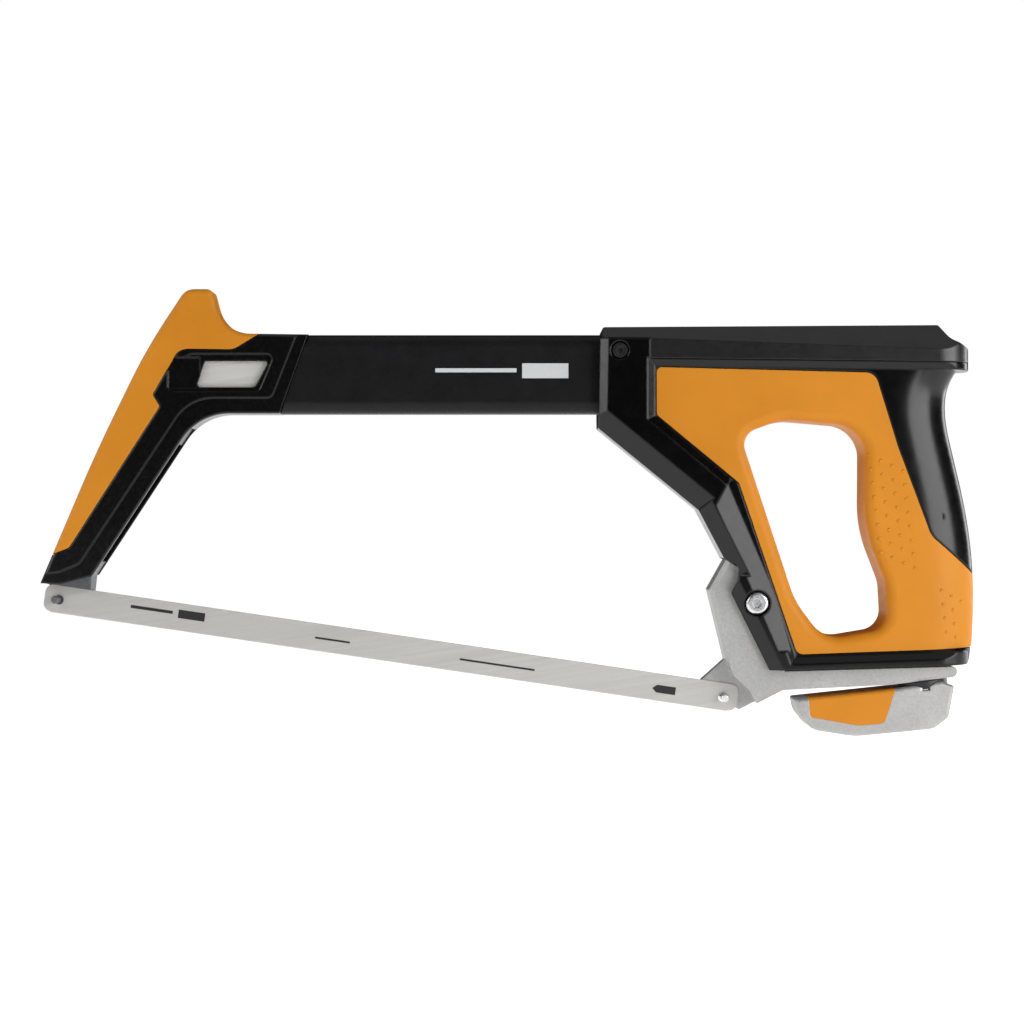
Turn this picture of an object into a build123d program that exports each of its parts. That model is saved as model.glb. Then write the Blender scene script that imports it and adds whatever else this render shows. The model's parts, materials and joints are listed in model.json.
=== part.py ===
"""A high-tension hacksaw for 300 mm blades, as an assembly of separate pieces.

X runs along the saw with the handle at +X, Y runs across it and Z is up. The saw plane is Y = 0,
the lowest point of the tension lever is Z = 0, and X = 0 is midway between the two ends.
"Left" is the -Y side. Every outline is drawn in X and Z, as the saw is seen from its left side.
"""

import os
from math import cos, hypot, radians, sin

from build123d import *

# ---------------------------------------------------------------- driving dimensions (mm)
BLADE_HOLE_SPACING = 300.0
BLADE_HEIGHT = 12.7
BLADE_THICKNESS = 0.65
BLADE_OVERHANG = 6.6  # from a hole's centre to the blade's end
BLADE_HOLE_DIAMETER = 4.2
TEETH_PER_INCH = 24
TOOTH_DEPTH = 0.7
PIN_DIAMETER = 3.5
PIN_NECK_RADIUS = 1.55  # behind the pin's end, where the blade hangs
PIN_HEAD_START = 1.2  # from the saw plane
PIN_ROOT = 6.0
PIN_PLAY = 0.45  # a tight blade pulls each pin this far off its hole's centre
PIN_REACH = 5.0  # how far a pin's tip stands from the saw plane
PIN_LEAN = 8.0  # degrees, so that the blade cannot slide off

BLADE_SLOPE = radians(8.34)
PIN_SPACING = BLADE_HOLE_SPACING + 2 * PIN_PLAY
REAR_PIN = (96.2, 16.5)
FRONT_PIN = (
    REAR_PIN[0] - PIN_SPACING * cos(BLADE_SLOPE),
    REAR_PIN[1] + PIN_SPACING * sin(BLADE_SLOPE),
)
PIVOT = (109.5, 59.1)
PIVOT_BOLT_DIAMETER = 6.0
PIVOT_HEAD_DIAMETER = 10.0
PIVOT_HEAD_SEAT = 13.3  # |Y| of the face under the bolt's head and under its nut

TUBE_HALF_WIDTH = 9.0
TUBE_WALL = 1.5
TUBE_BOTTOM = 142.9
TUBE_TOP = 178.1
TUBE_REAR = 74.0

NOSE_HALF_WIDTH = 10.0
BLOCK_HALF_WIDTH = 17.5  # the handle's front block and its upper and lower rims
GRIP_HALF_WIDTH = 15.0  # the handle's side panels
LOOP_RADIUS = 4.5
RUBBER = 2.0
SHELL_WALL = 2.4
JOINT_LINE = 0.3  # the narrow gap round each rubber grip
RIM_REAR = 204.7  # the rear end of the handle's upper and lower rims
RIM_RADIUS = 15.0  # their rear corners, as seen from above

ROCKER_HALF_WIDTH = 10.0
HUB_HALF_WIDTH = 8.0
HUB_RADIUS = 12.0
FRAME_HALF_WIDTH = 10.2

SCREW_FOOT = (184.8, 19.7)  # where the screw's axis meets the lever's hub
SCREW_LEAN = 7.1  # degrees, the top of the screw leans forward
SCREW_DIAMETER = 8.0
SCREW_LENGTH = 40.0
COLLAR_RADIUS = 11.6
COLLAR_BASE = 1.35  # heights along the screw, from its foot
COLLAR_TOP = 4.9
WASHER_BASE = 0.55
LEVER_HALF_WIDTH = 12.0
RUNNING_FIT = 0.05  # radial clearance of a turning pin

os.makedirs("parts", exist_ok=True)


# ---------------------------------------------------------------- helpers
def across(y):
    """The plane parallel to the saw plane at the given Y; its normal points to -Y."""
    return Plane.XZ.offset(-y)


def outline(corners):
    """A closed outline from (x, z, corner radius) triples."""
    with BuildSketch() as flat:
        with BuildLine():
            FilletPolyline(
                *[(x, z) for x, z, _ in corners],
                radius=[radius for _, _, radius in corners],
                close=True,
            )
        make_face()
    return flat.sketch


def grown(flat, amount):
    """The outline with its edge moved outwards, or inwards where the amount is negative."""
    if amount == 0:
        return flat
    with BuildSketch() as moved:
        add(flat)
        offset(amount=amount, kind=Kind.INTERSECTION)
    return moved.sketch


def slab(flat, low, high):
    """The outline as a plate that stands from Y = low to Y = high."""
    with BuildPart() as plate:
        with BuildSketch(across(high)):
            add(flat)
        extrude(amount=high - low)
    return plate.part


def rod(place, low, high, radius):
    """A round bar along a plane's normal, from one height over it to another."""
    with BuildPart() as bar:
        with BuildSketch(place.offset(low)):
            Circle(radius)
        extrude(amount=high - low)
    return bar.part


def cross_rod(centre, low, high, radius):
    """A round bar across the saw."""
    x, z = centre
    with BuildPart() as bar:
        with BuildSketch(across(high)):
            with Locations((x, z)):
                Circle(radius)
        extrude(amount=high - low)
    return bar.part


def save(builder, name):
    """Labels a finished piece and writes it."""
    builder.part.label = name
    export_step(builder.part, f"parts/{name}.step")


# ---------------------------------------------------------------- outlines
NOSE = outline([
    (-207.8, 67.7, 0),
    (-198.5, 67.4, 0),
    (-184.6, 71.0, 0),
    (-137.4, 142.9, 25),
    (-101.6, 142.9, 0),
    (-88.9, 178.1, 0),
    (-126.8, 178.6, 16),
    (-132.0, 198.2, 2.5),
    (-143.2, 198.2, 7),
    (-160.8, 171.5, 250),
    (-183.0, 126.0, 700),
])
FRONT_GRIP = outline([
    (-230.0, 79.0, 0),
    (-203.0, 80.0, 0),
    (-194.6, 83.2, 4),
    (-154.2, 146.2, 1.5),
    (-157.4, 151.3, 1.5),
    (-146.0, 171.4, 7),
    (-121.8, 171.1, 7),
    (-110.5, 178.0, 0),
    (-110.5, 215.0, 0),
    (-230.0, 215.0, 0),
])
HANDLE = outline([
    (40.3, 176.0, 0),
    (39.6, 136.5, 0),
    (84.0, 100.2, 0),
    (95.4, 78.6, 0),
    (101.8, 75.4, 3),
    (101.3, 69.0, 3),
    (98.3, 63.6, 2.5),
    (115.4, 29.4, 0),
    (RIM_REAR, 32.0, 3),
    (RIM_REAR + 1.0, 39.0, 0),
    (208.6, 44.0, 0),
    (208.6, 120.0, 0),
    (RIM_REAR, 150.0, 0),
    (RIM_REAR, 165.4, 0),
    (62.5, 167.0, 0),
    (62.5, 175.6, 0),
])
LOOP = outline([
    (102.4, 133.4, 7.5),
    (121.0, 140.2, 25),
    (157.6, 137.0, 14.5),
    (157.3, 92.0, 60),
    (166.6, 67.7, 18),
    (167.6, 47.6, 9),
    (139.5, 42.9, 14),
    (126.6, 60.0, 40),
])
PANEL = outline([
    (64.9, 163.5, 2.5),
    (161.7, 161.0, 6),
    (171.9, 128.0, 60),
    (186.6, 88.9, 10),
    (216.0, 64.5, 0),
    (216.0, 39.4, 0),
    (127.0, 36.2, 4),
    (101.3, 112.0, 2),
    (65.0, 142.0, 3),
])
# The side panels lie in a recess with sloping walls; this is its floor.
RECESS = outline([
    (64.4, 164.0, 0),
    (64.4, 141.8, 0),
    (100.9, 111.5, 0),
    (126.4, 35.5, 0),
    (240.0, 39.4, 0),
    (240.0, 161.4, 0),
])
COVER = outline([
    (41.2, 176.2, 0),
    (41.2, 180.9, 1.5),
    (112.0, 181.6, 0),
    (190.8, 182.4, 1.2),
    (195.0, 176.2, 7),
    (RIM_REAR, 171.1, 0.6),
    (RIM_REAR, 165.5, 0),
    (62.6, 167.1, 0),
    (62.6, 175.9, 0),
])
ROCKER = outline([
    (96.4, 78.2, 0),
    (88.8, 64.7, 0),
    (96.4, 33.2, 0),
    (86.1, 24.0, 0),
    (102.9, 10.8, 1.5),
    (121.5, 20.4, 3),
    (170.0, 22.85, 0),
    (198.4, 26.4, 2.5),
    (198.9, 30.9, 2),
    (122.3, 28.7, 0),
    (121.5, 58.0, 0),
    (109.5, 71.0, 0),
    (103.0, 74.0, 0),
])
LEVER = outline([
    (126.8, 16.4, 1),
    (171.9, 21.2, 0),
    (191.3, 24.4, 0),
    (197.2, 22.3, 1),
    (194.6, 8.4, 4),
    (188.0, 3.4, 8),
    (153.0, 0.0, 30),
    (134.0, 3.0, 9),
    (128.0, 10.5, 7),
])
LEVER_PAD = outline([
    (131.8, 30.0, 0),
    (133.2, 8.6, 2),
    (154.5, 4.9, 12),
    (166.2, 5.9, 3),
    (174.5, 32.0, 0),
])


# ---------------------------------------------------------------- blade
def blade_frame():
    """The plane of the blade: its x runs from the front hole to the rear one."""
    dx = REAR_PIN[0] - FRONT_PIN[0]
    dz = REAR_PIN[1] - FRONT_PIN[1]
    along = Vector(dx, 0, dz).normalized()
    spare = (hypot(dx, dz) - BLADE_HOLE_SPACING) / 2
    start = Vector(FRONT_PIN[0], 0, FRONT_PIN[1]) + along * spare
    return Plane(origin=start, x_dir=along, z_dir=(0, -1, 0))


def blade_outline():
    """A blade seen from the side, holes at (0, 0) and (spacing, 0), teeth along the bottom."""
    half = BLADE_HEIGHT / 2
    pitch = 25.4 / TEETH_PER_INCH
    corner = 3.5
    first = -BLADE_OVERHANG + corner
    last = BLADE_HOLE_SPACING + BLADE_OVERHANG - corner
    count = int((last - first) / pitch)
    teeth = []
    for i in range(count):
        x = first + i * pitch
        teeth.append((x, -half + TOOTH_DEPTH))
        teeth.append((x + 0.15 * pitch, -half))
    teeth.append((first + count * pitch, -half + TOOTH_DEPTH))
    with BuildSketch() as flat:
        with Locations((BLADE_HOLE_SPACING / 2, TOOTH_DEPTH / 2)):
            RectangleRounded(
                BLADE_HOLE_SPACING + 2 * BLADE_OVERHANG, BLADE_HEIGHT - TOOTH_DEPTH, corner
            )
        with BuildLine():
            Polyline(teeth[0], (first, 0), (first + count * pitch, 0), *reversed(teeth))
        make_face()
        with Locations((0, 0), (BLADE_HOLE_SPACING, 0)):
            Circle(BLADE_HOLE_DIAMETER / 2, mode=Mode.SUBTRACT)
    return flat.sketch


def blade_plate(plane, flat):
    """One blade, centred on its plane."""
    with BuildPart() as plate:
        with BuildSketch(plane):
            add(flat)
        extrude(amount=BLADE_THICKNESS / 2, both=True)
    return plate.part


def pin_plane(centre, lean):
    """A plane on the saw plane whose normal is a blade pin's leaning axis, towards -Y."""
    along = blade_frame().x_dir
    tilt = radians(lean)
    axis = along * sin(tilt) + Vector(0, -cos(tilt), 0)
    return Plane(origin=(centre[0], 0, centre[1]), z_dir=axis)


TOOTHED = blade_outline()

with BuildPart() as blade:
    add(blade_plate(blade_frame(), TOOTHED))
save(blade, "blade")


def blade_pin(centre, lean):
    """A pin with a thick end; the blade hangs on the neck behind it."""
    place = pin_plane(centre, lean)
    with BuildPart() as pin:
        add(rod(place, -PIN_ROOT, PIN_HEAD_START, PIN_NECK_RADIUS))
        add(rod(place, PIN_HEAD_START, PIN_REACH, PIN_DIAMETER / 2))
        chamfer(pin.edges().sort_by(Axis.Y)[0], 0.5)
    return pin.part


with BuildPart() as front_blade_pin:
    add(blade_pin(FRONT_PIN, -PIN_LEAN))
save(front_blade_pin, "front_blade_pin")

with BuildPart() as rear_blade_pin:
    add(blade_pin(REAR_PIN, PIN_LEAN / 2))
save(rear_blade_pin, "rear_blade_pin")


# ---------------------------------------------------------------- tube and nose
# Spare blades lie in a channel that runs from the nose through the tube into the handle.
MAGAZINE = outline([(-148.0, 151.0, 0), (172.0, 151.0, 0), (172.0, 169.0, 0), (-148.0, 169.0, 0)])
MAGAZINE_HOLLOW = outline([
    (-149.0, 153.4, 0), (170.5, 153.4, 0), (170.5, 166.6, 0), (-149.0, 166.6, 0)
])
MAGAZINE_LEFT = -7.2
MAGAZINE_RIGHT = -1.4
SPARE_BLADES = 3
SPARE_PITCH = 0.7
SPARE_FACE = -5.9  # Y of the first spare blade's middle
SPARE_FRONT_HOLE = (-139.6, 160.0)
SPIGOT_SCREWS = [(-68.0, 152.5), (-68.0, 168.5)]
SPIGOT_SCREW_RADIUS = 1.75
TUBE_PINS = [(60.0, 154.5), (60.0, 166.5)]
TUBE_PIN_RADIUS = 2.0
CORNER_SCREW = (49.0, 170.5)
CORNER_SCREW_RADIUS = 2.0

with BuildPart() as frame_tube:
    with BuildSketch(Plane.YZ.offset(TUBE_REAR)):
        with Locations((0, (TUBE_BOTTOM + TUBE_TOP) / 2)):
            RectangleRounded(2 * TUBE_HALF_WIDTH, TUBE_TOP - TUBE_BOTTOM, 5.5)
            RectangleRounded(
                2 * (TUBE_HALF_WIDTH - TUBE_WALL),
                TUBE_TOP - TUBE_BOTTOM - 2 * TUBE_WALL,
                4,
                mode=Mode.SUBTRACT,
            )
    extrude(amount=-190)
    # The front end is cut on a slant, to match the nose.
    slant = Plane(origin=(-101.2, 0, TUBE_BOTTOM), x_dir=(0, 1, 0), z_dir=(35.2, 0, -12.7))
    split(bisect_by=slant, keep=Keep.TOP)
    for place in SPIGOT_SCREWS:
        add(cross_rod(place, 0, 12, SPIGOT_SCREW_RADIUS), mode=Mode.SUBTRACT)
    for place in TUBE_PINS:
        add(cross_rod(place, 0, 12, TUBE_PIN_RADIUS), mode=Mode.SUBTRACT)
    add(cross_rod(CORNER_SCREW, -12, 0, CORNER_SCREW_RADIUS), mode=Mode.SUBTRACT)
save(frame_tube, "frame_tube")


def nose_body(inset):
    """The whole nose, with its skin taken in by the inset."""
    half = NOSE_HALF_WIDTH - inset
    with BuildPart() as body:
        add(slab(grown(NOSE, -inset), -half, half))
        if inset == 0:
            rims = body.edges().filter_by(lambda edge: abs(abs(edge.center().Y) - half) < 0.01)
            front = rims.filter_by(lambda edge: edge.center().X > -206 and edge.center().Z > 72)
            sleeve = front.filter_by(lambda edge: edge.center().X > -96 and edge.length > 30)
            fillet([edge for edge in front if edge not in sleeve], 2.2)
    return body.part


NOSE_OUTER = nose_body(0)
NOSE_CARRIER = nose_body(RUBBER)
NOSE_CAVITY = nose_body(RUBBER + SHELL_WALL)
GRIP_ZONE = slab(FRONT_GRIP, -12, 12)

# The post is open along its inner edge, between the two shells.
POST_SLOT = outline([
    (-183.0, 60.0, 0),
    (-187.6, 72.5, 0),
    (-186.5, 76.0, 0),
    (-153.5, 132.5, 0),
    (-143.0, 136.5, 0),
    (-128.0, 136.0, 0),
])
HOLDER_SLOT = outline([(-206.4, 60.0, 0), (-183.0, 60.0, 0), (-183.0, 78.0, 0), (-200.5, 78.0, 0)])
SLEEVE_BORE = outline([
    (-118.0, 147.3, 0),
    (-80.0, 147.3, 0),
    (-80.0, 173.7, 0),
    (-118.0, 173.7, 0),
])
# The window shows the spare blades; a ramp in front of it lets one slide out.
WINDOW = outline([
    (-138.6, 154.6, 1.5),
    (-112.6, 154.6, 2),
    (-106.4, 166.2, 1),
    (-134.8, 166.2, 1),
])
WINDOW_FRAME_FACE = 8.6  # |Y| of the face round the window
WINDOW_RAMP_DEPTH = 7.6  # |Y| of the ramp's deep end
# A lower band runs along the post's inner edge and round the sleeve.
BAND = outline([
    (-220.0, 71.0, 0),
    (-199.5, 72.6, 6),
    (-190.2, 76.4, 6),
    (-141.5, 149.9, 20),
    (-105.0, 149.9, 3),
    (-93.0, 180.5, 0),
    (-80.0, 180.5, 0),
    (-80.0, 130.0, 0),
    (-180.0, 50.0, 0),
    (-220.0, 50.0, 0),
])
BAND_HALF_WIDTH = 9.25
WINDOW_FRAME = outline([
    (-152.3, 152.6, 3),
    (-110.6, 152.6, 3),
    (-103.6, 169.4, 2.5),
    (-143.0, 169.4, 6),
])

with BuildPart() as front_grip:
    add(NOSE_OUTER)
    add(NOSE_CARRIER, mode=Mode.SUBTRACT)
    add(slab(grown(FRONT_GRIP, -JOINT_LINE), -12, 12), mode=Mode.INTERSECT)
save(front_grip, "front_grip")

with BuildPart() as nose:
    add(NOSE_OUTER)
    add(GRIP_ZONE, mode=Mode.SUBTRACT)
    with BuildPart(mode=Mode.PRIVATE) as carrier:
        add(NOSE_CARRIER)
        add(GRIP_ZONE, mode=Mode.INTERSECT)
    add(carrier.part)
    add(NOSE_CAVITY, mode=Mode.SUBTRACT)
    add(slab(POST_SLOT, -7.2, 7.2), mode=Mode.SUBTRACT)
    add(slab(HOLDER_SLOT, -6.6, 6.6), mode=Mode.SUBTRACT)
    add(slab(SLEEVE_BORE, -7.4, 7.4), mode=Mode.SUBTRACT)
    for side in (-1, 1):
        faces = sorted((side * BAND_HALF_WIDTH, side * 12))
        add(slab(BAND, *faces), mode=Mode.SUBTRACT)


# ---------------------------------------------------------------- front arm
NOSE_SCREWS = [(-174.3, 108.0), (-155.9, 136.5), (-142.6, 146.2)]
ARM_POST = outline([
    (-203.4, 70.0, 0),
    (-187.0, 70.0, 0),
    (-187.0, 84.0, 0),
    (-150.0, 140.0, 0),
    (-137.0, 143.0, 0),
    (-118.2, 147.6, 0),
    (-118.2, 150.4, 0),
    (-163.0, 150.4, 0),
    (-197.0, 82.0, 0),
])
ARM_BEND = outline([
    (-160.5, 150.0, 0),
    (-118.0, 150.0, 0),
    (-118.0, 173.0, 0),
    (-150.0, 173.0, 0),
])
ARM_SPIGOT = outline([
    (-118.2, 147.6, 0),
    (-60.0, 147.6, 2),
    (-60.0, 173.4, 2),
    (-118.2, 173.4, 0),
])
LOWER_PATCH = outline([
    (-186.2, 68.0, 0), (-184.9, 71.6, 0), (-181.4, 77.0, 0), (-186.6, 79.5, 0), (-190.0, 74.0, 0)
])
UPPER_PATCH = outline([
    (-147.2, 129.4, 0),
    (-142.0, 136.9, 0),
    (-138.0, 140.0, 0),
    (-148.0, 145.0, 0),
    (-158.0, 135.5, 0),
])
HOLDER_NECK = outline([
    (-205.9, 66.9, 0), (-185.9, 64.0, 0), (-185.1, 71.3, 0), (-186.5, 74.0, 0), (-203.6, 74.0, 0)
])
HOLDER_TONGUE = outline([
    (-205.5, 68.0, 0), (-204.2, 57.2, 2.5), (-191.5, 55.2, 3), (-185.9, 64.0, 0), (-185.9, 68.0, 0)
])
BLADE_GAP = 0.05  # between a blade and the holder behind it

with BuildPart() as front_arm:
    add(slab(ARM_POST, -5.5, 5.5))
    add(slab(ARM_BEND, -1.2, 5.5))
    add(slab(ARM_SPIGOT, -1.2, 7.3))
    add(slab(LOWER_PATCH, -7.1, 7.1))
    add(slab(UPPER_PATCH, -7.1, 7.1))
    add(slab(HOLDER_NECK, -6.5, 6.5))
    add(slab(HOLDER_TONGUE, BLADE_THICKNESS / 2 + BLADE_GAP, 6.5))
    # The blade's bed is cut into the neck.
    with BuildPart(mode=Mode.PRIVATE) as bed:
        with BuildSketch(blade_frame().offset(-BLADE_THICKNESS / 2 - BLADE_GAP)):
            with Locations((10, 0)):
                Rectangle(60, BLADE_HEIGHT + 0.6)
        extrude(amount=20)
    add(bed.part, mode=Mode.SUBTRACT)
    add(nose.part, mode=Mode.SUBTRACT)
    add(rod(pin_plane(FRONT_PIN, -PIN_LEAN), -9, 9, PIN_NECK_RADIUS), mode=Mode.SUBTRACT)
    for place in NOSE_SCREWS:
        add(cross_rod(place, -8, 12, 1.7), mode=Mode.SUBTRACT)
    for place in SPIGOT_SCREWS:
        add(cross_rod(place, 1.9, 12, SPIGOT_SCREW_RADIUS), mode=Mode.SUBTRACT)
save(front_arm, "front_arm")


def cap_screw(place, tip, seat, crown, shank_radius, head_radius):
    """A screw whose head is at +Y: tip, face under the head and top of the head are Y values."""
    socket = 0.45 * head_radius
    with BuildPart() as screw:
        add(cross_rod(place, tip, seat, shank_radius))
        add(cross_rod(place, seat, crown, head_radius))
        with BuildSketch(across(crown)):
            with Locations(place):
                RegularPolygon(socket, 6)
        extrude(amount=0.5 * (crown - seat), mode=Mode.SUBTRACT)
    return screw.part


with BuildPart() as nose_screws:
    for place in NOSE_SCREWS:
        add(cap_screw(place, -7.4, 6.9, 9.0, 1.5, 2.8))
save(nose_screws, "nose_screws")

with BuildPart() as spigot_screws:
    for place in SPIGOT_SCREWS:
        add(cap_screw(place, 2.0, TUBE_HALF_WIDTH, 10.6, SPIGOT_SCREW_RADIUS, 3.2))
save(spigot_screws, "spigot_screws")

# The nose and the tube get their screw holes.
with BuildPart() as nose_shell_right:
    add(nose.part)
    split(bisect_by=Plane.XZ, keep=Keep.BOTTOM)
    for place in NOSE_SCREWS:
        add(cross_rod(place, -1, 12, 1.7), mode=Mode.SUBTRACT)
        add(cross_rod(place, 6.9, 12, 3.0), mode=Mode.SUBTRACT)
save(nose_shell_right, "nose_shell_right")

with BuildPart() as nose_shell_left:
    add(nose.part)
    split(bisect_by=Plane.XZ, keep=Keep.TOP)
    add(slab(WINDOW_FRAME, -12, -WINDOW_FRAME_FACE), mode=Mode.SUBTRACT)
    with BuildPart(mode=Mode.PRIVATE) as ramp:
        with BuildSketch(Plane.XY.offset(154.2)):
            with BuildLine():
                Polyline(
                    (-151.0, -WINDOW_FRAME_FACE),
                    (-137.0, -WINDOW_RAMP_DEPTH),
                    (-137.0, -12),
                    (-151.0, -12),
                    close=True,
                )
            make_face()
        extrude(amount=13.6)
    add(ramp.part, mode=Mode.SUBTRACT)
    add(slab(WINDOW, -12, -5), mode=Mode.SUBTRACT)
    add(slab(grown(MAGAZINE, 0.05), MAGAZINE_LEFT - 0.05, MAGAZINE_RIGHT), mode=Mode.SUBTRACT)
    for place in NOSE_SCREWS:
        add(cross_rod(place, -7.4, 1, 1.5), mode=Mode.SUBTRACT)
save(nose_shell_left, "nose_shell_left")

with BuildPart() as magazine_channel:
    add(slab(MAGAZINE, MAGAZINE_LEFT, MAGAZINE_RIGHT))
    add(slab(MAGAZINE_HOLLOW, MAGAZINE_LEFT + 0.8, MAGAZINE_RIGHT - 0.8), mode=Mode.SUBTRACT)
    add(slab(grown(WINDOW, 0.4), -12, -6), mode=Mode.SUBTRACT)
save(magazine_channel, "magazine_channel")

with BuildPart() as spare_blades:
    for i in range(SPARE_BLADES):
        middle = SPARE_FACE + i * SPARE_PITCH
        x, z = SPARE_FRONT_HOLE
        add(blade_plate(Plane(origin=(x, middle, z), x_dir=(1, 0, 0), z_dir=(0, -1, 0)), TOOTHED))
save(spare_blades, "spare_blades")

with BuildPart() as magazine_spring:
    with BuildSketch(Plane.XY.offset(156)):
        with BuildLine():
            ThreePointArc((-98, -2.55), (-70, -3.8), (-42, -2.55))
            Line((-42, -2.55), (-42, -2.25))
            ThreePointArc((-42, -2.25), (-70, -3.5), (-98, -2.25))
            Line((-98, -2.25), (-98, -2.55))
        make_face()
    extrude(amount=8)
save(magazine_spring, "magazine_spring")


# ---------------------------------------------------------------- handle
# The palm's rear line, from its foot up to the flange, as (X, height).
PALM_LINE = [
    (204.9, 10.0),
    (206.5, 36.0),
    (207.5, 62.0),
    (205.5, 90.0),
    (200.4, 116.0),
    (195.4, 139.0),
    (195.0, 150.0),
    (199.0, 160.5),
    (205.5, 168.0),
    (214.0, 176.0),
]
PALM_SECTIONS = 13
PALM_DEPTH = 27.0  # each side of the palm curves in over this length
FRONT_BEVEL = 3.8
LOWER_BEVEL = 8.0
RECESS_TAPER = 53.0


def at_half_width(shape, half):
    """The edges that lie in the two side faces."""
    return shape.edges().filter_by(lambda edge: abs(abs(edge.center().Y) - half) < 0.01)


def palm(inset):
    """A tall solid as wide as the side panels, with a rear like half an oval at every height."""
    half = GRIP_HALF_WIDTH - inset
    rear_line = Spline(*PALM_LINE)
    with BuildPart() as solid:
        for i in range(PALM_SECTIONS + 1):
            point = rear_line @ (i / PALM_SECTIONS)
            rear = point.X
            with BuildSketch(Plane.XY.offset(point.Y)):
                with BuildLine():
                    start = rear - PALM_DEPTH
                    back = rear - inset
                    Spline(
                        (start, -half),
                        (start + 0.66 * (back - start), -0.76 * half),
                        (back, 0),
                        (start + 0.66 * (back - start), 0.76 * half),
                        (start, half),
                        tangents=[(1, 0), (-1, 0)],
                    )
                    Polyline((start, half), (20, half), (20, -half), (start, -half))
                make_face()
        loft()
    return solid.part


def grip_body(inset):
    """The slim part of the handle, with a rounded palm and loop, its skin taken in by the inset."""
    half = GRIP_HALF_WIDTH - inset
    with BuildPart() as body:
        add(palm(inset))
        with BuildSketch(across(half)):
            add(grown(LOOP, inset))
        extrude(amount=2 * half, mode=Mode.SUBTRACT)
        if inset < LOOP_RADIUS - 1:
            loop = at_half_width(body, half).filter_by(
                lambda edge: 100 < edge.center().X < 170 and 40 < edge.center().Z < 142
            )
            fillet(loop, LOOP_RADIUS - inset)
        add(slab(grown(HANDLE, -inset), -half, half), mode=Mode.INTERSECT)
    return body.part


def recess_cutter():
    """The recess of the left side panel, with its sloping walls."""
    with BuildPart() as cutter:
        with BuildSketch(across(-GRIP_HALF_WIDTH)):
            add(RECESS)
        extrude(amount=4, taper=-RECESS_TAPER)
    return cutter.part


def slope_cutter():
    """The broad slope in front of the loop, from the front block down to the side panel."""
    upper = Vector(92.9, -BLOCK_HALF_WIDTH, 98.0)
    lower = Vector(107.0, -BLOCK_HALF_WIDTH, 65.0)
    inner = Vector(119.1, -GRIP_HALF_WIDTH, 59.4)
    normal = (lower - upper).cross(inner - upper)
    if normal.Y > 0:
        normal = -normal
    reach = outline([
        (90.0, 99.5, 0), (97.5, 113.5, 0), (130.0, 113.5, 0), (130.0, 38.0, 0), (80.0, 38.0, 0)
    ])
    with BuildPart() as cutter:
        add(slab(reach, -BLOCK_HALF_WIDTH - 1, -GRIP_HALF_WIDTH))
        split(bisect_by=Plane(origin=upper, z_dir=normal), keep=Keep.TOP)
    return cutter.part


def rim_plan():
    """A tall prism with the rims' rounded rear end, as seen from above."""
    half = BLOCK_HALF_WIDTH
    with BuildPart() as plan:
        with BuildSketch(Plane.XY):
            with BuildLine():
                FilletPolyline(
                    (20, -half), (RIM_REAR, -half), (RIM_REAR, half), (20, half),
                    radius=[0, RIM_RADIUS, RIM_RADIUS, 0],
                    close=True,
                )
            make_face()
        extrude(amount=200)
    return plan.part


def bevel_cutter(start, end, width, reach):
    """A 45 degree bevel on the left side's edge from start to end, inside the reach outline.

    Seen from the left the handle lies to the left of the way from start to end.
    """
    along = Vector(end[0] - start[0], 0, end[1] - start[1]).normalized()
    inward = Vector(-along.Z, 0, along.X)
    foot = Vector(start[0], width - BLOCK_HALF_WIDTH, start[1])
    crest = Vector(start[0], -BLOCK_HALF_WIDTH, start[1]) + inward * width
    normal = along.cross(crest - foot)
    if normal.Y > 0:
        normal = -normal
    with BuildPart() as cutter:
        add(slab(reach, -BLOCK_HALF_WIDTH - 1, 0))
        split(bisect_by=Plane(origin=foot, z_dir=normal), keep=Keep.TOP)
    return cutter.part


def both_sides(cutters):
    """The cutters of the left side and their mirror images."""
    return [*cutters, *[mirror(cutter, about=Plane.XZ, mode=Mode.PRIVATE) for cutter in cutters]]


FRONT_REACH = outline([(30, 130, 0), (60, 130, 0), (60, 180, 0), (30, 180, 0)])
DIAGONAL_REACH = outline([(80, 97, 0), (96, 110, 0), (75, 150, 0), (30, 150, 0), (20, 120, 0)])
BRACE_REACH = outline([(80, 97, 0), (96, 110, 0), (112, 90, 0), (112, 71, 0), (85, 71, 0)])
CHEEK_REACH = outline([(90, 71, 0), (112, 71, 0), (130, 40, 0), (122, 28, 0), (100, 25, 0)])
BEVELS = both_sides([
    bevel_cutter((40.3, 176.0), (39.6, 136.5), FRONT_BEVEL, FRONT_REACH),
    bevel_cutter((39.6, 136.5), (84.0, 100.2), LOWER_BEVEL, DIAGONAL_REACH),
    bevel_cutter((84.0, 100.2), (95.4, 78.6), LOWER_BEVEL - 1.5, BRACE_REACH),
    bevel_cutter((98.3, 63.6), (115.4, 29.4), LOWER_BEVEL - 3, CHEEK_REACH),
])

with BuildPart() as handle_body:
    add(slab(HANDLE, -BLOCK_HALF_WIDTH, BLOCK_HALF_WIDTH))
    add(rim_plan(), mode=Mode.INTERSECT)
    add(slab(LOOP, -20, 20), mode=Mode.SUBTRACT)
    for cutter in both_sides([recess_cutter(), slope_cutter()]):
        add(cutter, mode=Mode.SUBTRACT)
    add(slab(RECESS, -GRIP_HALF_WIDTH, GRIP_HALF_WIDTH), mode=Mode.SUBTRACT)
    add(grip_body(0))
    for cutter in BEVELS:
        add(cutter, mode=Mode.SUBTRACT)


PANEL_ZONE = slab(PANEL, -20, 20)
CARRIER = grip_body(RUBBER)
CAVITY = grip_body(RUBBER + SHELL_WALL)
HANDLE_SCREWS = [(66.0, 131.5), (190.5, 97.0), (179.5, 152.5)]
SCREW_SEAT = 12.9
ROCKER_WAY = grown(ROCKER, 1.3)


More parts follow.
